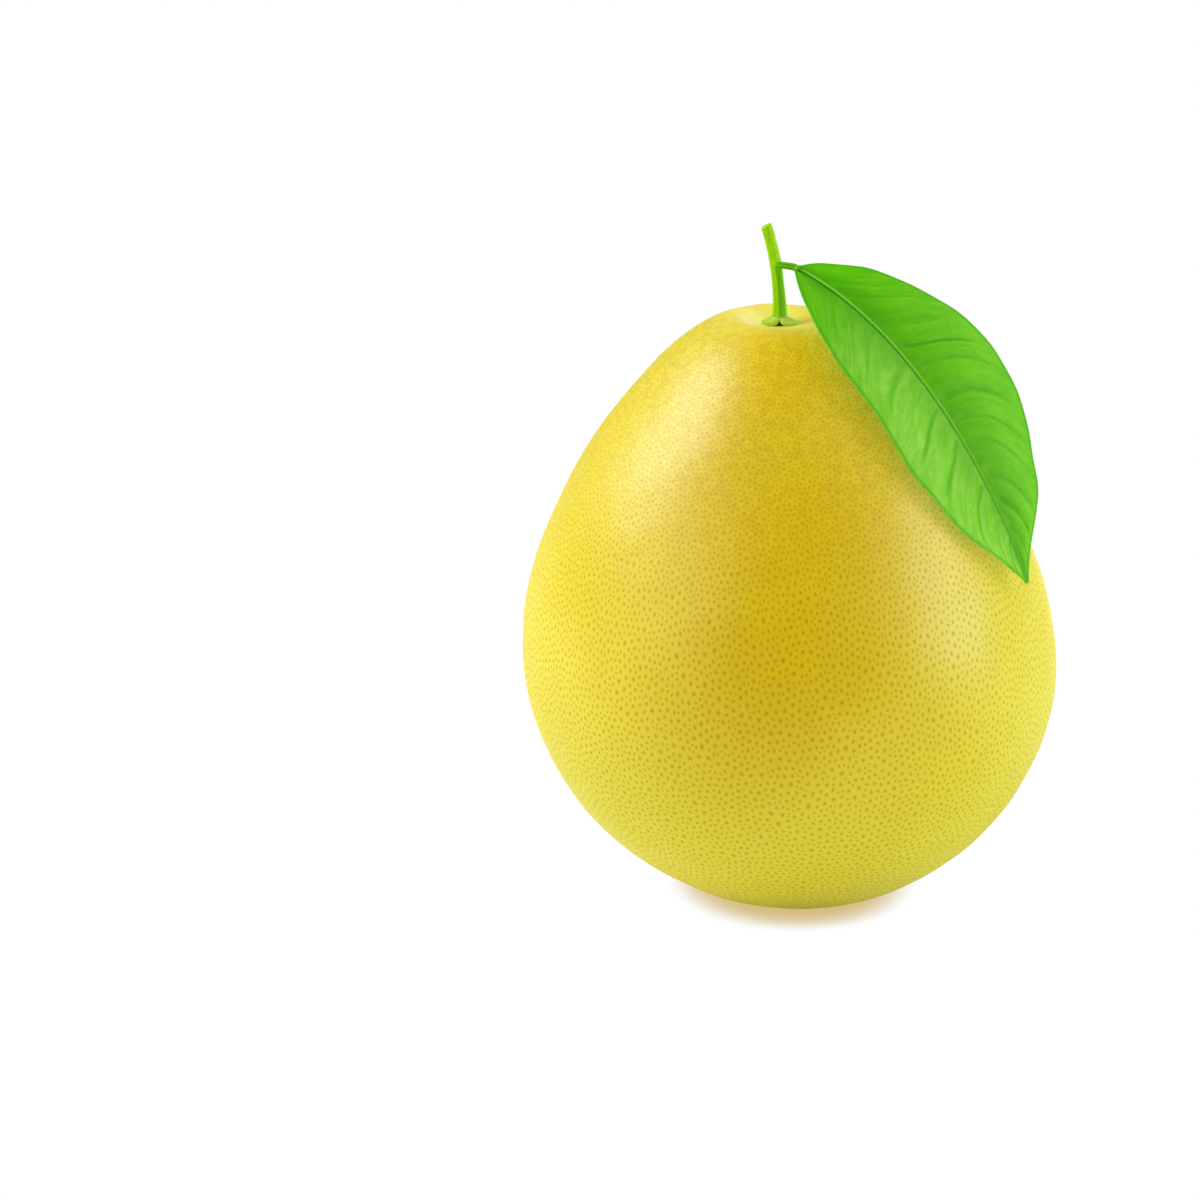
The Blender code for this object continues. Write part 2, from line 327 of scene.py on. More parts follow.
def ring_faces(rings, size):
    """Faces of a closed tube through rings of equal size, with a face on each end ring."""
    faces = []
    for row in range(rings - 1):
        for i in range(size):
            j = (i + 1) % size
            low, high = row * size, (row + 1) * size
            faces.append((low + i, low + j, high + j, high + i))
    faces.append(tuple(range(size))[::-1])
    faces.append(tuple(range((rings - 1) * size, rings * size)))
    return faces


# --- Shared shading ----------------------------------------------------------------------------

def add(tree, kind, inputs=None, **settings):
    """A shader node with these settings. An input given as a socket is linked, and any other is set."""
    made = tree.nodes.new(kind)
    for name, value in settings.items():
        setattr(made, name, value)
    for key, value in (inputs or {}).items():
        if isinstance(value, bpy.types.NodeSocket):
            tree.links.new(value, made.inputs[key])
        else:
            made.inputs[key].default_value = value
    return made


def attribute(tree, name):
    """A value that the mesh carries at each vertex."""
    return add(tree, "ShaderNodeAttribute", attribute_name=name).outputs["Fac"]


def place(tree):
    """The point on the object, in metres in the shared frame."""
    return add(tree, "ShaderNodeTexCoord").outputs["Object"]


def noise(tree, vector, scale, detail=2.0, roughness=0.5):
    """Smooth noise from 0 to 1, with about this many features to a unit of the vector."""
    inputs = {"Vector": vector, "Scale": scale, "Detail": detail, "Roughness": roughness}
    return add(tree, "ShaderNodeTexNoise", inputs).outputs["Fac"]


def remap(tree, value, low, high, out_low=0.0, out_high=1.0):
    """A value smoothly remapped from the range low..high, and held at the ends."""
    inputs = {"Value": value, 1: low, 2: high, 3: out_low, 4: out_high}
    made = add(tree, "ShaderNodeMapRange", inputs, interpolation_type="SMOOTHSTEP")
    return made.outputs["Result"]


def maths(tree, operation, first, second=0.0, third=0.0):
    """One step of arithmetic on values."""
    inputs = {0: first, 1: second, 2: third}
    return add(tree, "ShaderNodeMath", inputs, operation=operation).outputs[0]


def times(tree, first, second):
    """Two values multiplied."""
    return maths(tree, "MULTIPLY", first, second)


def mix(tree, share, first, second, blend="MIX"):
    """Two colours mixed: a tuple is a fixed linear colour."""
    first = (*first, 1.0) if isinstance(first, tuple) else first
    second = (*second, 1.0) if isinstance(second, tuple) else second
    inputs = {0: share, 6: first, 7: second}
    settings = {"data_type": "RGBA", "blend_type": blend, "clamp_factor": True}
    return add(tree, "ShaderNodeMix", inputs, **settings).outputs[2]


def tinted(tree, colour, tint):
    """A colour multiplied by another."""
    return mix(tree, 1.0, colour, tint, "MULTIPLY")


def bump(tree, height, strength, distance):
    """A normal that makes a height from 0 to 1 look this far raised."""
    inputs = {"Height": height, "Strength": strength, "Distance": distance}
    return add(tree, "ShaderNodeBump", inputs).outputs["Normal"]


def principled(name, **fixed):
    """A material, its node tree and its Principled shader with these fixed numbers."""
    made = bpy.data.materials.new(name)
    made.use_nodes = True
    shader = made.node_tree.nodes["Principled BSDF"]
    for label, value in fixed.items():
        shader.inputs[label.replace("_", " ")].default_value = value
    return made, made.node_tree, shader


def connect(tree, shader, **sources):
    """Links each source to the shader's input of that name."""
    for label, socket in sources.items():
        tree.links.new(socket, shader.inputs[label.replace("_", " ")])


# --- Fruit -------------------------------------------------------------------------------------

def skin_profile():
    """Radius, height and outward normal along the skin, and the share of its glands below it."""
    equator = LOWER_SEMI_AXIS * math.sqrt(1.0 - (REST_RADIUS / EQUATOR_RADIUS) ** 2)
    spot = [(radius, 0.0) for radius in np.linspace(0.0, REST_RADIUS, 40, endpoint=False)]
    start = -math.asin(equator / LOWER_SEMI_AXIS)
    angles = np.linspace(start, 0.0, 500, endpoint=False)
    below = np.column_stack(
        [EQUATOR_RADIUS * np.cos(angles), equator + LOWER_SEMI_AXIS * np.sin(angles)]
    )
    shares = np.linspace(0.0, 1.0, 1200)
    neck = spline(((EQUATOR_RADIUS, equator),) + NECK_POINTS, shares, (0.0, 1.0), (-1.0, 0.0))
    middle = [(0.0, NECK_POINTS[-1][1])]
    line = np.vstack([spot, below, neck, middle])
    slope = unit(np.gradient(line, axis=0))
    step = np.linalg.norm(np.diff(line, axis=0), axis=1)
    crowding = 1.0 + NECK_CROWDING * smooth_step(line[1:, 1], *NECK_CROWDING_HEIGHTS)
    band = step * crowding * (line[1:, 0] + line[:-1, 0]) / 2.0
    share = np.concatenate([[0.0], np.cumsum(band)])
    return line[:, 0], line[:, 1], slope[:, 1], -slope[:, 0], share / share[-1]


def lean_at(height):
    """How far the leaning fruit's middle line is from the Z axis."""
    return LEAN * height / LEAN_HEIGHT


def skin_at(directions, profile):
    """Points, outward normals and radii of the skin, as a sphere's points are laid over it."""
    radius, height, outward, upward, share = profile
    level = (1.0 + directions[:, 2]) / 2.0
    r = np.interp(level, share, radius)
    z = np.interp(level, share, height)
    lengths = np.maximum(np.linalg.norm(directions[:, :2], axis=1), 1e-9)
    across = directions[:, :2] / lengths[:, None]
    points = np.column_stack([lean_at(z) + r * across[:, 0], r * across[:, 1], z])
    side = np.interp(level, share, outward)[:, None] * across
    normals = unit(np.column_stack([side, np.interp(level, share, upward)]))
    return points, normals, r


def sphere_triangles(directions):
    """The Delaunay triangles of points on a sphere. They are found in the flat projection of it
    from its lowest point, where a circle is still a circle."""
    flat = directions[:, :2] / (1.0 + directions[:, 2:])
    found = delaunay_2d_cdt([Vector(p) for p in flat], [], [], 0, 1e-12)
    sources = [source[0] for source in found[3]]
    return np.array([[sources[i] for i in face] for face in found[2]])


def gland_directions():
    """Evenly spread but irregular points on a sphere, one for each oil gland."""
    rng = np.random.default_rng(SEED)
    number = np.arange(GLANDS) + 0.5
    height = 1.0 - 2.0 * number / GLANDS
    turn = number * math.pi * (3.0 - math.sqrt(5.0))
    across = np.sqrt(1.0 - height**2)
    points = np.column_stack([across * np.cos(turn), across * np.sin(turn), height])
    spacing = math.sqrt(4.0 * math.pi / GLANDS)
    points = unit(points + rng.normal(size=points.shape) * GLAND_JITTER * spacing)
    for _ in range(GLAND_RELAX_ROUNDS):
        triangles = sphere_triangles(points)
        total = np.zeros(points.shape)
        weight = np.zeros(GLANDS)
        for a, b in ((0, 1), (1, 2), (2, 0)):
            for one, other in ((a, b), (b, a)):
                np.add.at(total, triangles[:, one], points[triangles[:, other]])
                np.add.at(weight, triangles[:, one], 1.0)
        average = total / np.maximum(weight, 1.0)[:, None]
        points = unit(points + (average - points) * GLAND_RELAX_SHARE)
    return points, sphere_triangles(points)


def halved(points, triangles):
    """Each triangle cut into four by the middles of its edges, which lie on the sphere too."""
    edges = np.vstack([triangles[:, [0, 1]], triangles[:, [1, 2]], triangles[:, [2, 0]]])
    unique, which = np.unique(np.sort(edges, axis=1), axis=0, return_inverse=True)
    which = which.ravel() + len(points)
    middles = unit(points[unique[:, 0]] + points[unique[:, 1]])
    ab, bc, ca = np.split(which, 3)
    a, b, c = triangles.T
    faces = np.vstack(
        [
            np.column_stack([a, ab, ca]),
            np.column_stack([b, bc, ab]),
            np.column_stack([c, ca, bc]),
            np.column_stack([ab, bc, ca]),
        ]
    )
    return np.vstack([points, middles]), faces


def lowest_ring(triangles):
    """The open rim round the middle of the flat spot, as one loop of vertices."""
    edges = {}
    for a, b, c in triangles:
        for edge in ((a, b), (b, c), (c, a)):
            edges[edge] = True
    rim = {b: a for a, b in edges if (b, a) not in edges}
    start = next(iter(rim))
    loop = [start]
    while rim[loop[-1]] != start:
        loop.append(rim[loop[-1]])
    return loop


def skin_relief(points, normals, radii, glands):
    """How far the skin stands out or sinks in at each point."""
    broad = waves(points, BROAD_WAVES[0], SEED + 1) * BROAD_WAVES[1]
    fine = waves(points, FINE_WAVES[0], SEED + 2) * FINE_WAVES[1]
    turn = np.arctan2(points[:, 1], points[:, 0] - lean_at(points[:, 2]))
    on_top = smooth_step(points[:, 2], *CREASE_HEIGHTS)
    wobble = 0.5 * np.sin(2.0 * turn + 0.7) + 0.3 * np.sin(3.0 * turn + 2.0)
    crease = np.cos(CREASE_COUNT * turn + wobble) * on_top * CREASE_DEPTH
    crease *= smooth_step(radii, *CREASE_START_RADII) * (1.0 - smooth_step(radii, *CREASE_END_RADII))
    relief = broad + fine + crease - PIT_DEPTH * glands
    return relief * smooth_step(points[:, 2], 0.0, REST_BLEND_HEIGHT)


def rind_yellow(tree, spot):
    """The rind between its glands, and the noise that roughens it."""
    mottle = remap(tree, noise(tree, spot, 28.0, 3.0), 0.3, 0.7)
    grain = remap(tree, noise(tree, spot, 620.0, 2.0), 0.3, 0.7)
    # The blue in these yellows, most in the lime and the foot's tint, is partly painted sheen.
    lemon = mix(tree, mottle, (0.81, 0.680, 0.060), (0.84, 0.720, 0.090))
    lime = mix(tree, mottle, (0.76, 0.730, 0.060), (0.79, 0.770, 0.100))
    golden = mix(tree, mottle, (0.80, 0.565, 0.0), (0.83, 0.620, 0.0))
    # Lime where the rind is less ripe, and as painted light from the right-hand lamp.
    yellow = mix(tree, attribute(tree, "unripe_and_lit"), lemon, lime)
    # Golden where the rind is riper, and as painted shade on the -Y side.
    yellow = mix(tree, attribute(tree, "ripe_and_shade"), yellow, golden)
    yellow = mix(tree, attribute(tree, "foot"), yellow, (0.74, 0.80, 0.13))
    yellow = mix(tree, times(tree, grain, 0.20), yellow, (0.86, 0.76, 0.0))
    return yellow, grain


def rind_material():
    """Satin yellow rind: darker dots where the oil glands are, a paler bare patch near the stalk
    thinned on its right by painted leaf shadow, and near-black painted shade round the stalk's foot.
    """
    surface, tree, shader = principled(
        "rind",
        Subsurface_Weight=0.12,
        Subsurface_Scale=0.004,
        Specular_IOR_Level=0.60,
        Coat_Weight=0.0,
        Sheen_Weight=0.08,
        Sheen_Roughness=0.35,
    )
    shader.inputs["Subsurface Radius"].default_value = (1.0, 0.6, 0.15)
    spot = place(tree)
    gland = attribute(tree, "gland")
    ragged = maths(tree, "MULTIPLY_ADD", noise(tree, spot, 1500.0, 1.0), 0.25, gland)
    dot = remap(tree, ragged, 0.50, 0.98)
    halo = remap(tree, ragged, 0.20, 0.80)
    yellow, grain = rind_yellow(tree, spot)
    crowded = attribute(tree, "crowded")
    blotch = times(tree, crowded, remap(tree, noise(tree, spot, 430.0, 3.0), 0.4, 0.6))
    yellow = mix(tree, blotch, yellow, tinted(tree, yellow, (0.90, 0.87, 0.6)))
    # The pale bare patch near the stalk, thinned on its right as painted leaf shadow.
    pale = maths(tree, "POWER", attribute(tree, "bloom_and_shadow"), 2.0)
    yellow = mix(tree, times(tree, pale, 0.8), yellow, (0.85, 0.78, 0.16))
    dots = tinted(tree, yellow, (0.65, 0.62, 0.06))
    strength = remap(tree, crowded, 0.0, 1.0, 1.0, 0.45)
    colour = mix(tree, times(tree, halo, 0.32), yellow, dots)
    colour = mix(tree, times(tree, dot, strength), colour, dots)
    # Near-black: the style scar below, and painted shade round the stalk's foot under the calyx.
    colour = mix(tree, attribute(tree, "scar_and_shade"), colour, (0.05, 0.028, 0.008))
    worn = maths(tree, "MULTIPLY_ADD", grain, 0.5, dot)
    rough = remap(tree, maths(tree, "ADD", worn, attribute(tree, "bloom_and_shadow")), 0.0, 2.0, 0.37, 0.62)
    fine = noise(tree, spot, 1900.0, 2.0, 0.6)
    normal = bump(tree, fine, 0.25, 0.00006)
    connect(tree, shader, Base_Color=colour, Roughness=rough, Normal=normal)
    return surface


def rind_layers(points, radii, glands, bare):
    """The values at each vertex that the rind's colours follow."""
    height = points[:, 2]
    turn = np.arctan2(points[:, 1], points[:, 0] - lean_at(height))
    foot = 1.0 - smooth_step(height, *FOOT_HEIGHTS)
    # A golden band on -Y, partly riper rind and partly painted shade; a second one at the back is riper
    # rind only.
    ripe_and_shade = bell(turned_away(turn, RIPE_AND_SHADE_TURN), RIPE_AND_SHADE_SPREAD)
    ripe_and_shade = ripe_and_shade + RIPE_BACK_SHARE * bell(turned_away(turn, RIPE_BACK_TURN), RIPE_AND_SHADE_SPREAD)
    ripe_and_shade = ripe_and_shade * (1.0 - RIPE_AND_SHADE_LOSS_AT_FOOT * foot) + 0.12 * waves(points, 0.050, SEED + 4)
    # A paler, greener band towards +X, partly less ripe rind and partly painted light from the right.
    unripe_and_lit = bell(turned_away(turn, UNRIPE_AND_LIT_TURN), UNRIPE_AND_LIT_SPREAD)
    unripe_and_lit = unripe_and_lit * (1.0 - UNRIPE_AND_LIT_FADE * smooth_step(height, *UNRIPE_AND_LIT_FADE_HEIGHTS))
    unripe_and_lit += UNRIPE_AND_LIT_AT_FOOT * foot + 0.10 * waves(points, 0.060, SEED + 6)
    # Painted shade round the stalk's foot, seen in the notch under the calyx.
    stalk_shade = np.where(height > SHOULDER_HEIGHT, 1.0 - smooth_step(radii, *STALK_SHADE_RADII), 0.0)
    style_scar = np.where(height < STYLE_SCAR_HEIGHT, 1.0 - smooth_step(radii, *STYLE_SCAR_RADII), 0.0)
    return {
        "gland": glands,
        # Bare rind near the stalk, thinned on the right as painted leaf shadow.
        "bloom_and_shadow": bare * (1.0 - BLOOM_SHADOW_SHARE * np.clip(np.cos(turn - BLOOM_SHADOW_TURN), 0.0, 1.0)),
        "ripe_and_shade": np.clip(ripe_and_shade, 0.0, 1.0),
        "unripe_and_lit": np.clip(unripe_and_lit, 0.0, 1.0),
        "foot": FOOT_TINT * foot,
        "crowded": smooth_step(height, *NECK_CROWDING_HEIGHTS),
        "scar_and_shade": np.maximum(stalk_shade, style_scar),
    }


def make_fruit():
    """The rind: a mesh with a vertex at each oil gland and one half way to each neighbour."""
    profile = skin_profile()
    directions, triangles = gland_directions()
    rng = np.random.default_rng(SEED + 3)
    sizes = rng.uniform(*GLAND_SIZES, GLANDS)
    directions, faces = halved(directions, triangles)
    points, normals, radii = skin_at(directions, profile)
    glands = np.zeros(len(points))
    glands[:GLANDS] = sizes
    top = points[:, 2] > SHOULDER_HEIGHT
    bare = np.where(top, 1.0 - smooth_step(radii, STALK_BARE_RADIUS, STALK_FADE_RADIUS), 0.0)
    glands *= 1.0 - bare
    relief = skin_relief(points, normals, radii, glands)
    points = points + normals * relief[:, None]
    layers = rind_layers(points, radii, glands, bare)
    faces = faces.tolist() + [lowest_ring(faces)]
    return mesh_object("pomelo_rind", points, faces, rind_material(), layers)


# --- Calyx, stalk and petiole ------------------------------------------------------------------

def green_material(name, dark, light, fleck, stripe, cut_colour, roughness):
    """Satin plant green with fine lengthwise streaks and flecks."""
    surface, tree, shader = principled(
        name, Subsurface_Weight=0.1, Subsurface_Scale=0.001, Specular_IOR_Level=0.18
    )
    spot = place(tree)
    mapping = add(tree, "ShaderNodeMapping", {"Vector": spot, "Scale": (1.0, 1.0, 0.12)})
    stretched = mapping.outputs["Vector"]
    streak = remap(tree, noise(tree, stretched, 2600.0, 3.0), 0.35, 0.65)
    colour = mix(tree, streak, dark, light)
    colour = mix(tree, attribute(tree, "stripe"), colour, stripe)
    flecks = remap(tree, noise(tree, spot, 3200.0, 2.0), 0.62, 0.74)
    colour = mix(tree, times(tree, flecks, 0.5), colour, fleck)
    colour = mix(tree, attribute(tree, "cut"), colour, cut_colour)
    rough = remap(tree, streak, 0.0, 1.0, roughness - 0.05, roughness + 0.08)
    normal = bump(tree, streak, 0.5, 0.00008)
    connect(tree, shader, Base_Color=colour, Roughness=rough, Normal=normal)
    return surface


def stalk_material():
    """Bright green bark, darker along the band below the petiole and paler on the cut."""
    return green_material(
        "stalk_bark",
        dark=(0.30, 0.69, 0.0),
        light=(0.40, 0.82, 0.003),
        fleck=(0.48, 0.82, 0.02),
        stripe=(0.15, 0.54, 0.0),
        cut_colour=(0.36, 0.68, 0.02),
        roughness=0.42,
    )


def make_stalk():
    """The bent, ridged twig from the calyx to its slanting cut."""
    rings, size = 140, 80
    line = spline(STALK_POINTS, np.linspace(0.0, 1.0, rings), (0.0, 0.0, 1.0))
    heights = [(z, radius) for (_, _, z), radius in zip(STALK_POINTS, STALK_RADII)]
    smooth = spline(heights, np.linspace(0.0, 1.0, 60))
    turns = np.linspace(0.0, 2.0 * math.pi, size, endpoint=False)
    directions = unit(np.gradient(line, axis=0))
    forward = np.array((0.0, 1.0, 0.0))
    # The bark runs on below the petiole as a darker raised band.
    band_turn = math.atan2(PETIOLE_SIDE[1], PETIOLE_SIDE[0]) - STALK_BAND_TWIST
    apart = turned_away(turns, band_turn)
    points, stripes, cuts = [], [], []
    for i, (centre, direction) in enumerate(zip(line, directions)):
        share = i / (rings - 1)
        across = unit(np.cross(forward, direction))
        radius = float(np.interp(centre[2], smooth[:, 0], smooth[:, 1]))
        foot = max(0.0, 1.0 - (centre[2] - line[0][2]) / STALK_FOOT_HEIGHT)
        radius += STALK_FOOT_SPREAD * foot**2
        below = PETIOLE_HEIGHT - centre[2]
        swell = math.exp(-((below / NODE_SWELL_LENGTH) ** 2))
        ridge = STALK_RIDGE_DEPTH * (1.0 - STALK_RIDGE_FADE * share)
        reach = radius * (1.0 + ridge * np.cos(STALK_RIDGES * turns))
        reach += NODE_SWELL * swell * bell(apart, 0.9)
        under = float(smooth_step(below, -0.0006, 0.0004))
        band = under * (1.0 - smooth_step(apart, 0.45, 0.75))
        reach += STALK_BAND_HEIGHT * band
        spokes = np.cos(turns)[:, None] * across + np.sin(turns)[:, None] * forward
        ring = centre + reach[:, None] * spokes
        # The last rings lean into the slanting cut.
        lean = smooth_step(share, 0.90, 1.0) * STALK_CUT_SLOPE
        ring += direction * (lean * reach * np.cos(turns))[:, None]
        points.append(ring)
        stripes.append(band)
        cuts.append(np.zeros(size))
    top = points[-1]
    centre = top.mean(axis=0)
    for share, rise, cut in STALK_CUT_RINGS:
        points.append(centre + (top - centre) * share + directions[-1] * rise)
        stripes.append(np.zeros(size))
        cuts.append(np.full(size, cut))
    layers = {"stripe": np.concatenate(stripes), "cut": np.concatenate(cuts)}
    faces = ring_faces(len(points), size)
    return mesh_object("stalk_twig", np.vstack(points), faces, stalk_material(), layers, 50.0)


def stalk_at(height):
    """The middle, direction and radius of the stalk at a height."""
    line = spline(STALK_POINTS, np.linspace(0.0, 1.0, 60), (0.0, 0.0, 1.0))
    i = int(np.searchsorted(line[:, 2], height))
    direction = unit(line[i] - line[i - 1])
    middle = line[i] + direction * (height - line[i][2]) / direction[2]
    heights = [z for _, _, z in STALK_POINTS]
    return middle, direction, float(np.interp(height, heights, STALK_RADII))


def petiole_material():
    """Darker green bark, paler along its ridges and where the leaf is jointed to it."""
    return green_material(
        "petiole_bark",
        dark=(0.045, 0.35, 0.0),
        light=(0.10, 0.50, 0.0),
        fleck=(0.20, 0.58, 0.01),
        stripe=(0.16, 0.62, 0.003),
        cut_colour=(0.48, 0.72, 0.16),
        roughness=0.42,
    )


def make_petiole():
    """The grooved leaf stalk, from inside the twig to the start of the blade."""
    rings, size = 60, 40
    middle, stalk_direction, radius = stalk_at(PETIOLE_HEIGHT)
    outwards = np.asarray(PETIOLE_SIDE, float)
    outwards = unit(outwards - stalk_direction * np.dot(outwards, stalk_direction))
    start = middle + outwards * radius * 0.7
    leaf_start, leaf_direction = bezier(MIDRIB, [0.0])
    end = leaf_start[0] + leaf_direction[0] * 0.0006
    reach = np.linalg.norm(end - start) / 3.0
    controls = (start, start + outwards * reach, end - leaf_direction[0] * reach, end)
    turns = np.linspace(0.0, 2.0 * math.pi, size, endpoint=False)
    shares = np.linspace(0.0, 1.0, rings)
    centres, directions = bezier(controls, shares)
    points, stripes, cuts = [], [], []
    for share, centre, direction in zip(shares, centres, directions):
        across = unit(np.cross(direction, (0.0, 0.0, 1.0)))
        upwards = np.cross(across, direction)
        thick = PETIOLE_RADII[0] + (PETIOLE_RADII[1] - PETIOLE_RADII[0]) * share
        thick += PETIOLE_FOOT_SPREAD * max(0.0, 1.0 - share / PETIOLE_FOOT_SHARE) ** 2
        groove = 1.0 - 0.22 * bell(turns - math.pi / 2.0, 0.5)
        ridges = 1.0 + 0.04 * np.cos(PETIOLE_RIDGES * turns)
        reach = (thick * groove * ridges)[:, None]
        spokes = np.cos(turns)[:, None] * across + np.sin(turns)[:, None] * upwards
        points.append(centre + reach * spokes)
        stripes.append(0.5 + 0.5 * np.cos(PETIOLE_RIDGES * turns))
        joint = math.exp(-(((share - 0.90) / 0.05) ** 2))
        cuts.append(np.full(size, 0.75 * joint))
    layers = {"stripe": np.concatenate(stripes), "cut": np.concatenate(cuts)}
    faces = ring_faces(rings, size)
    return mesh_object("petiole_twig", np.vstack(points), faces, petiole_material(), layers, 50.0)


def calyx_material():
    """Matte yellow-green, with darker edges, fine flecks and near-black painted shade on the underside.
    """
    surface, tree, shader = principled(
        "calyx_lobes", Subsurface_Weight=0.1, Subsurface_Scale=0.001, Specular_IOR_Level=0.15
    )
    spot = place(tree)
    patches = remap(tree, noise(tree, spot, 700.0, 3.0), 0.35, 0.65)
    colour = mix(tree, patches, (0.40, 0.61, 0.045), (0.53, 0.70, 0.085))
    colour = mix(tree, attribute(tree, "rim"), colour, (0.36, 0.62, 0.03))
    flecks = remap(tree, noise(tree, spot, 2600.0, 2.0), 0.60, 0.72)
    colour = mix(tree, times(tree, flecks, 0.4), colour, (0.66, 0.80, 0.26))
    # Near-black painted shade on the underside of the lobes.
    colour = mix(tree, attribute(tree, "under"), colour, (0.05, 0.06, 0.004))
    rough = remap(tree, patches, 0.0, 1.0, 0.48, 0.62)
    normal = bump(tree, noise(tree, spot, 1800.0, 3.0), 0.5, 0.00010)
    connect(tree, shader, Base_Color=colour, Roughness=rough, Normal=normal)
    return surface


def make_calyx(profile):
    """A skirt of three blunt lobes that droop from the stalk's foot to the skin of the hollow."""
    size, across = 240, 24
    span = CALYX_LOBE_RADIUS - CALYX_BUTTON_RADIUS
    radius, height = profile[0], profile[1]
    rim = int(np.argmax(height))
    hollow = (radius[rim:][::-1], height[rim:][::-1])
    turns = np.linspace(0.0, 2.0 * math.pi, size, endpoint=False)
    middle = lean_at(hollow[1][0])
    lobe = np.abs(np.sin((turns - CALYX_NOTCH_TURN) * CALYX_LOBES / 2.0)) ** CALYX_LOBE_BLUNTNESS
    edge = CALYX_NOTCH_RADIUS + (CALYX_LOBE_RADIUS - CALYX_NOTCH_RADIUS) * lobe
    edge *= 1.0 + 0.03 * np.sin(turns + 0.6) + 0.02 * np.sin(5.0 * turns + 2.0)
    points, rims, shade_marks = [], [], []

    def ring(share, top, edge_mark, painted_shade=0.0):
        """One ring of points at this share of the way out, on the upper or the lower side."""
        reach = CALYX_BUTTON_RADIUS + (edge - CALYX_BUTTON_RADIUS) * share
        z = np.interp(reach, *hollow)
        out = np.clip((reach - CALYX_BUTTON_RADIUS) / span, 0.0, 1.0)
        if top:
            z = z + CALYX_LOBE_THICKNESS + CALYX_RISE * (1.0 - out**CALYX_DROOP)
            # Each lobe is a little round across, so that its edges lie lower.
            z = z - 0.0003 * (1.0 - lobe) * share + 0.0002 * lobe * share * (1.0 - share)
        else:
            z = z + CALYX_UNDERSIDE + CALYX_NOTCH_LIFT * (1.0 - lobe) ** 2 * share
        points.append(np.column_stack([middle + reach * np.cos(turns), reach * np.sin(turns), z]))
        rims.append(np.full(size, edge_mark))
        shade_marks.append(np.full(size, painted_shade))

    for share in np.linspace(0.0, 1.0, across):
        # The lobes' underside is painted near-black, as shade, out to near their edges.
        ring(share, False, 0.0, 1.0 - float(smooth_step(share, 0.78, 0.92)))
    for share in np.linspace(1.0, 0.0, across):
        ring(share, True, float(smooth_step(share, 0.80, 1.0)) * 0.4)
    faces = ring_faces(len(points), size)
    layers = {"rim": np.concatenate(rims), "under": np.concatenate(shade_marks)}
    return mesh_object("calyx_lobes", np.vstack(points), faces, calyx_material(), layers, 60.0)


# --- Leaf --------------------------------------------------------------------------------------

def leaf_half_widths(stations):
    """Half the blade's width at each share of the midrib, for its back and its front half."""
    found = []
    for widths in (LEAF_BACK_WIDTHS, LEAF_FRONT_WIDTHS):
        curve = spline(list(zip(LEAF_SHARES, widths)), np.linspace(0.0, 1.0, 2000))
        found.append(np.interp(stations, curve[:, 0], curve[:, 1])[:, None])
    return found


def vein_number(t, v):
    """Counts the side veins from the petiole. It is the same all along a vein, which runs
    forward and out. Also where along the midrib the vein starts."""
    away = np.abs(v)
    start = t - VEIN_REACH[0] * away - VEIN_REACH[1] * away**2
    bend = 0.16 * np.sin(9.0 * t + 4.0 * v + 1.0) + 0.04 * np.sin(23.0 * t - 7.0 * v)
    number = start * VEIN_PAIRS + 0.45 * (v > 0) + bend
    # Neither are they evenly spaced.
    return number + 0.16 * np.sin(2.2 * number + 2.0 * (v > 0)), start


def side_veins(t, v):
    """How strong a side vein is at each point, from 0 to 1, and how far off its middle line is,
    in spacings between veins."""
    rng = np.random.default_rng(SEED + 9)
    strength = 0.30 + 0.70 * rng.uniform(0.0, 1.0, (2, VEIN_PAIRS + 3)) ** 1.6
    away = np.abs(v)
    phase, start = vein_number(t, v)
    middles = np.arange(VEIN_PAIRS + 3) + 0.5
    back_strong = np.interp(phase, middles, strength[1])
    front_strong = np.interp(phase, middles, strength[0])
    strong = np.where(v > 0, back_strong, front_strong)
    inside = smooth_step(start, 0.0, 0.10) * (1.0 - smooth_step(away, 0.60, 0.95))
    apart = np.abs(phase - np.floor(phase) - 0.5)
    return strong * inside * smooth_step(away, 0.02, 0.14), apart


def leaf_relief(t, v, half):
    """Height of the blade's upper face above its smooth surface."""
    away = np.abs(v)
    body = np.minimum(1.0, half / FULL_RELIEF_WIDTH)
    strong, apart = side_veins(t, v)
    valleys = bell(apart, QUILT_WIDTH) * strong
    veins = bell(apart, VEIN_WIDTH) * strong
    relief = -(QUILT_DEPTH * valleys + VEIN_DEPTH * veins) * body
    relief -= GROOVE_DEPTH * (1.0 - 0.6 * t) * bell(v * half, GROOVE_HALF_WIDTH)
    ripple = np.sin(31.0 * t + 1.5 * np.sin(7.0 * t) + 2.1 * (v > 0)) + 0.5 * np.sin(57.0 * t + 1.0)
    relief += MARGIN_WAVE * ripple * away**4 * body
    return relief


def leaf_greens(tree, side, right, along):
    """The blade between its veins: paler on its left half as painted light, darker on its right half
    near the midrib as painted shade, and darker near the petiole.
    """
    outward = remap(tree, maths(tree, "ABSOLUTE", side), 0.02, 0.65)
    away_from_petiole = remap(tree, along, 0.02, 0.50)
    # Painted light: the left half paler as if lit, the right half darker near the midrib as if shaded.
    shaded_right_green = mix(tree, outward, (0.110, 0.52, 0.0), (0.190, 0.70, 0.008))
    lit_left_green = mix(tree, outward, (0.190, 0.60, 0.035), (0.290, 0.78, 0.060))
    green = mix(tree, right, lit_left_green, shaded_right_green)
    # Darker near the petiole.
    darker_near_petiole = tinted(tree, green, mix(tree, right, (0.45, 0.70, 0.1), (0.66, 0.86, 0.1)))
    return mix(tree, away_from_petiole, darker_near_petiole, green)


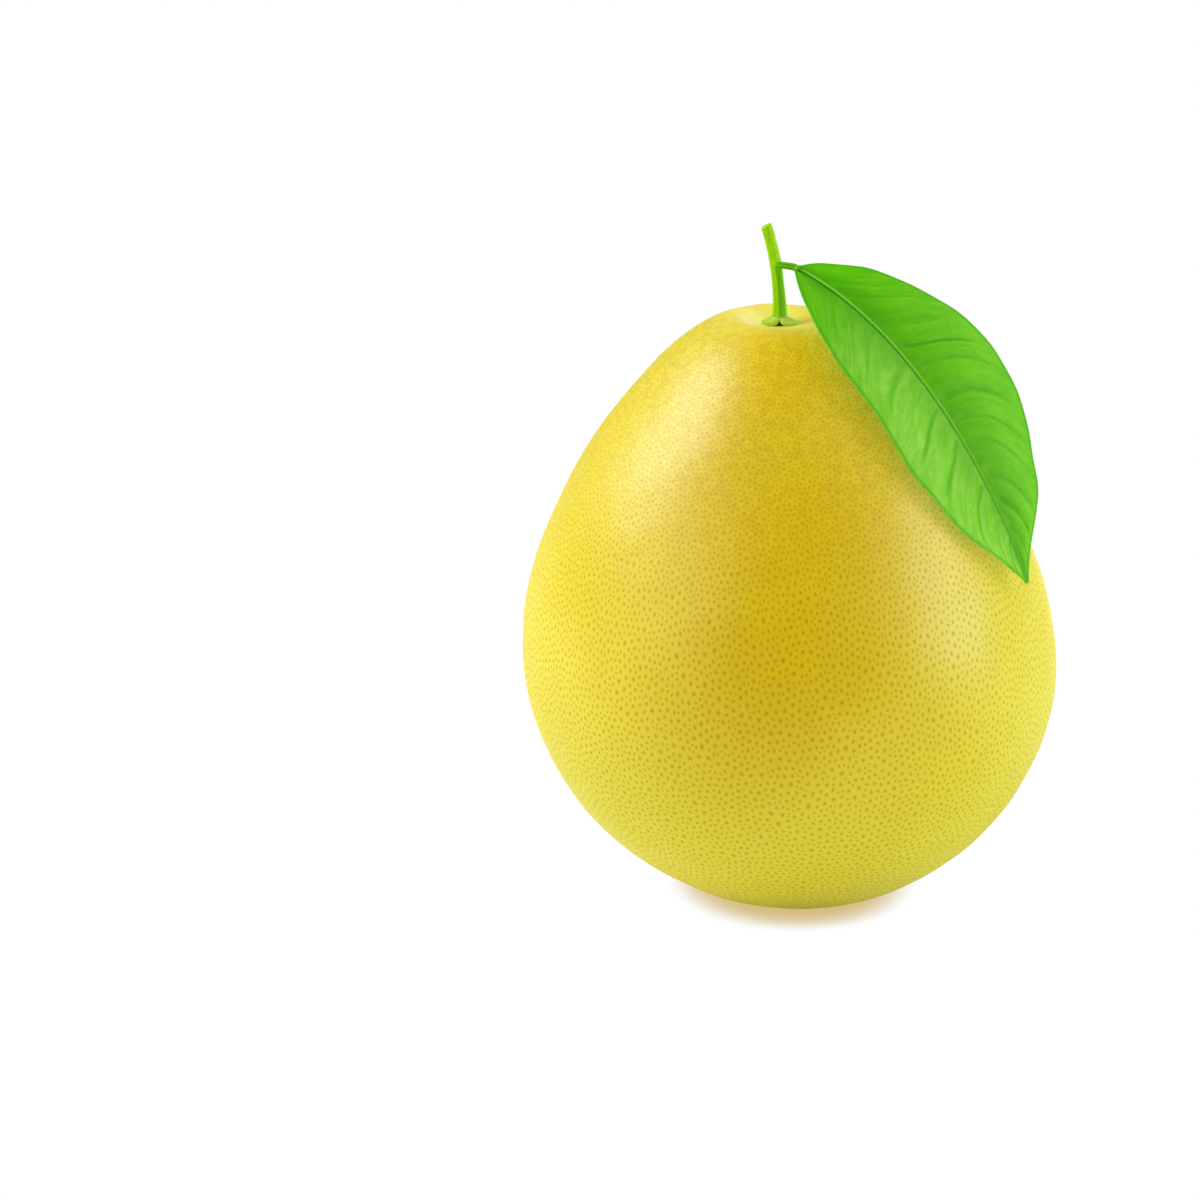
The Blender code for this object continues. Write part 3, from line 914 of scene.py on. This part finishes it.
def leaf_vein_marks(tree, mottled):
    """Where a side vein's fine dark line runs, as painted shade in its valley, and the lit shoulder on
    one side of it, as painted highlight.
    """
    vein = attribute(tree, "vein")
    apart = maths(tree, "SUBTRACT", maths(tree, "FRACT", attribute(tree, "phase")), 0.5)
    ragged = maths(tree, "MULTIPLY_ADD", maths(tree, "SUBTRACT", mottled, 0.5), 0.05, apart)
    # Painted shade: a fine dark line along each vein's valley.
    line = times(tree, remap(tree, maths(tree, "ABSOLUTE", ragged), 0.15, 0.02), vein)
    near = remap(tree, ragged, 0.08, 0.16)
    shoulder = times(tree, near, remap(tree, ragged, 0.34, 0.18))
    return line, times(tree, shoulder, vein)


def leaf_midrib(tree, green, along):
    """The green with a pale line along the midrib groove's one wall as painted highlight, and a dark
    one beside it on the other wall as painted shade.
    """
    rib = attribute(tree, "rib")
    # Painted highlight on the lit wall of the midrib groove.
    pale = times(tree, remap(tree, rib, -0.05, 0.12), remap(tree, rib, 0.85, 0.55))
    pale = times(tree, pale, remap(tree, along, 0.95, 0.40, 0.15, 0.9))
    # Painted shade on the other wall of the midrib groove.
    dark = times(tree, remap(tree, rib, -1.20, -0.85), remap(tree, rib, 0.05, -0.12))
    dark = times(tree, dark, remap(tree, along, 0.0, 1.0, 1.0, 0.45))
    green = mix(tree, pale, green, (0.23, 0.66, 0.06))
    return mix(tree, dark, green, (0.006, 0.22, 0.0))


def leaf_material():
    """Waxy green: painted shade along the veins' valleys and beside the midrib, paler and matte below.
    """
    surface, tree, shader = principled("leaf_wax", Specular_IOR_Level=0.16, Coat_Weight=0.0)
    spot = place(tree)
    side = attribute(tree, "side")
    along = attribute(tree, "along")
    margin = attribute(tree, "margin")
    right = remap(tree, side, -0.03, 0.03)
    across_veins = {"X": attribute(tree, "phase"), "Y": side, "Z": 0.0}
    streaks_at = add(tree, "ShaderNodeCombineXYZ", across_veins).outputs["Vector"]
    streak = remap(tree, noise(tree, streaks_at, 2.6, 4.0, 0.65), 0.36, 0.64)
    cloud = remap(tree, noise(tree, spot, 85.0, 3.0), 0.34, 0.66)
    mottled = remap(tree, noise(tree, spot, 330.0, 4.0, 0.7), 0.36, 0.64)
    cells = remap(tree, noise(tree, spot, 1500.0, 3.0, 0.6), 0.3, 0.7)
    line, shoulder = leaf_vein_marks(tree, mottled)
    green = leaf_greens(tree, side, right, along)
    darker = tinted(tree, green, (0.42, 0.80, 0.0))
    lighter = tinted(tree, green, (1.35, 1.06, 2.2))
    green = mix(tree, times(tree, cloud, 0.50), green, lighter)
    green = mix(tree, times(tree, streak, 0.55), green, darker)
    green = mix(tree, times(tree, mottled, 0.22), green, darker)
    # Painted highlight on the lit shoulder beside each vein.
    green = mix(tree, times(tree, shoulder, 0.50), green, lighter)
    # Painted shade along the side veins' valleys.
    vein_shade_green = mix(tree, right, (0.085, 0.48, 0.0), (0.050, 0.42, 0.0))
    green = mix(tree, times(tree, line, 0.95), green, vein_shade_green)
    green = mix(tree, times(tree, cells, 0.18), green, (0.06, 0.40, 0.0))
    green = leaf_midrib(tree, green, along)
    edge = times(tree, remap(tree, margin, 1.5, 0.5), remap(tree, margin, 0.05, 0.25))
    green = mix(tree, times(tree, edge, 0.60), green, (0.04, 0.40, 0.0))
    lower_green = mix(tree, line, (0.27, 0.54, 0.12), (0.36, 0.63, 0.18))
    green = mix(tree, attribute(tree, "under"), green, lower_green)
    rough = remap(tree, cells, 0.0, 1.0, 0.42, 0.52)
    normal = bump(tree, cells, 0.30, 0.00006)
    connect(tree, shader, Base_Color=green, Roughness=rough, Normal=normal)
    return surface


def make_leaf():
    """The folded, curled blade with its veins' relief, a midrib below and a rounded margin."""
    even = np.linspace(0.0, 1.0, LEAF_STATIONS)
    crowded = (1.0 - np.cos(math.pi * even)) / 2.0
    stations = even + (crowded - even) * LEAF_STATIONS_TOWARDS_ENDS
    half_across = np.linspace(0.0, 1.0, HALF_LEAF_POINTS + 1)[1:] ** 1.35
    across = np.concatenate([-half_across[::-1], [0.0], half_across])
    centres, directions = bezier(MIDRIB, stations)
    sides = np.outer(1.0 - stations, LEAF_SIDE_AT_PETIOLE) + np.outer(stations, LEAF_SIDE_AT_TIP)
    sides = unit(sides - directions * np.sum(sides * directions, axis=1)[:, None])
    upwards = np.cross(directions, sides)
    t, v = np.meshgrid(stations, across, indexing="ij")
    back_half, front_half = leaf_half_widths(stations)
    half = np.where(v > 0.0, back_half, front_half)
    opening = np.minimum(1.0, t / LEAF_OPENS_OVER)
    rise = math.tan(LEAF_FOLD) * np.abs(v) - LEAF_CURL * np.abs(v) ** 2.5
    relief = leaf_relief(t, v, half)
    along_side = (half * v * math.cos(LEAF_FOLD))[..., None] * sides[:, None, :]
    lift = (half * opening * rise + relief)[..., None] * upwards[:, None, :]
    top = centres[:, None, :] + along_side + lift
    thick = LEAF_THICKNESS + (LEAF_EDGE_THICKNESS - LEAF_THICKNESS) * np.abs(v)
    rib = RIB_DEPTH * (1.0 - RIB_TAPER * t)
    thick += rib * bell(v * half, 0.55 * RIB_HALF_WIDTH)
    bottom = top - thick[..., None] * upwards[:, None, :]
    # A rounded margin: one more point beyond each edge, half way down its thickness.
    bulge = 0.5 * LEAF_EDGE_THICKNESS
    back_edge = (top[:, -1] + bottom[:, -1]) / 2.0 + sides * bulge
    front_edge = (top[:, 0] + bottom[:, 0]) / 2.0 - sides * bulge
    rings = np.concatenate([top, back_edge[:, None], bottom[:, ::-1], front_edge[:, None]], axis=1)
    signed = v * half * 1000.0
    inset = (1.0 - np.abs(v)) * half * 1000.0

    def around(upper, at_back, lower, at_front):
        """One attribute over a whole ring: upper face, back edge, lower face, front edge."""
        edge = np.zeros((LEAF_STATIONS, 1))
        return np.concatenate([upper, edge + at_back, lower[:, ::-1], edge + at_front], axis=1).ravel()

    veins = side_veins(t, v)[0]
    phase = vein_number(t, v)[0]
    layers = {
        "vein": around(veins, 0.0, veins, 0.0),
        "phase": around(phase, phase[:, -1:], phase, phase[:, :1]),
        "side": around(v, 1.0, v, -1.0),
        "along": around(t, stations[:, None], t, stations[:, None]),
        "rib": around(signed, back_half * 1000.0, signed, -front_half * 1000.0),
        "margin": around(inset, 0.0, inset, 0.0),
        "under": around(np.zeros(v.shape), 0.5, np.ones(v.shape), 0.5),
    }
    faces = [face[::-1] for face in ring_faces(LEAF_STATIONS, rings.shape[1])]
    return mesh_object("leaf_surface", rings.reshape(-1, 3), faces, leaf_material(), layers, 70.0)


# --- Studio ------------------------------------------------------------------------------------

def make_camera():
    """The camera, aimed along its direction."""
    data = bpy.data.cameras.new("camera")
    data.lens = CAMERA_LENS
    data.sensor_width = CAMERA_SENSOR
    camera = bpy.data.objects.new("camera", data)
    camera.location = CAMERA_PLACE
    camera.rotation_mode = "QUATERNION"
    camera.rotation_quaternion = Vector(CAMERA_DIRECTION).to_track_quat("-Z", "Y")
    bpy.context.scene.collection.objects.link(camera)
    bpy.context.scene.camera = camera


def make_light(name, azimuth, elevation, distance, width, height, power, shadows):
    """A soft rectangular light that faces the fruit, with or without shadows.
    Azimuth 0 is on the camera's side and 90 at the right."""
    data = bpy.data.lights.new(name, "AREA")
    data.shape = "RECTANGLE"
    data.size = width
    data.size_y = height
    data.energy = power
    data.use_shadow = shadows
    light = bpy.data.objects.new(name, data)
    a, e = math.radians(azimuth), math.radians(elevation)
    out = Vector((math.sin(a) * math.cos(e), -math.cos(a) * math.cos(e), math.sin(e)))
    light.location = Vector(LIGHTS_AIM) + out * distance
    light.rotation_mode = "QUATERNION"
    light.rotation_quaternion = (-out).to_track_quat("-Z", "Y")
    light.visible_camera = False
    bpy.context.scene.collection.objects.link(light)


def make_world():
    """An even soft fill light, and a plain white backdrop."""
    world = bpy.data.worlds.new("studio")
    bpy.context.scene.world = world
    world.use_nodes = True
    tree = world.node_tree
    tree.nodes.clear()
    seen = add(tree, "ShaderNodeLightPath").outputs["Is Camera Ray"]
    colour = {"Color": WORLD_FILL, "Strength": WORLD_FILL_STRENGTH}
    fill = add(tree, "ShaderNodeBackground", colour)
    backdrop = add(tree, "ShaderNodeBackground", {"Color": (1.0, 1.0, 1.0, 1.0), "Strength": 1.0})
    chosen = add(tree, "ShaderNodeMixShader", {0: seen, 1: fill.outputs[0], 2: backdrop.outputs[0]})
    add(tree, "ShaderNodeOutputWorld", {"Surface": chosen.outputs[0]})


def make_floor():
    """A plain white floor that runs into the white backdrop. The camera sees only the shade close
    below the fruit on it, and the fruit is lit by warm paper."""
    surface = bpy.data.materials.new("floor_white")
    surface.use_nodes = True
    tree = surface.node_tree
    tree.nodes.clear()
    seen = add(tree, "ShaderNodeLightPath").outputs["Is Camera Ray"]
    paper = add(tree, "ShaderNodeBsdfDiffuse", {"Color": FLOOR_PAPER})
    reach = {"Distance": FLOOR_SHADE_REACH}
    open_sky = add(tree, "ShaderNodeAmbientOcclusion", reach, samples=16).outputs["AO"]
    shade = mix(tree, remap(tree, open_sky, *FLOOR_SHADE_RANGE), FLOOR_SHADE, (1.0, 1.0, 1.0))
    lit = add(tree, "ShaderNodeEmission", {"Color": shade, "Strength": 1.0})
    chosen = add(tree, "ShaderNodeMixShader", {0: seen, 1: paper.outputs[0], 2: lit.outputs[0]})
    add(tree, "ShaderNodeOutputMaterial", {"Surface": chosen.outputs[0]})
    turns = np.linspace(0.0, 2.0 * math.pi, 96, endpoint=False)
    rim = [(FLOOR_RADIUS * math.cos(a), FLOOR_RADIUS * math.sin(a), 0.0) for a in turns]
    mesh_object("floor", rim, [range(96)], surface)


# --- The whole ---------------------------------------------------------------------------------

def attach(piece, node):
    """Puts a piece on the part's one body, in place of its CAD node."""
    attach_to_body(piece, "root")
    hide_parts(node)


attach(make_fruit(), "fruit")
attach(make_calyx(skin_profile()), "calyx")
attach(make_stalk(), "stalk")
attach(make_petiole(), "petiole")
attach(make_leaf(), "leaf_blade")

make_camera()
make_world()
make_floor()
for light in LIGHTS:
    make_light(*light)
bpy.context.scene.view_settings.view_transform = "Standard"
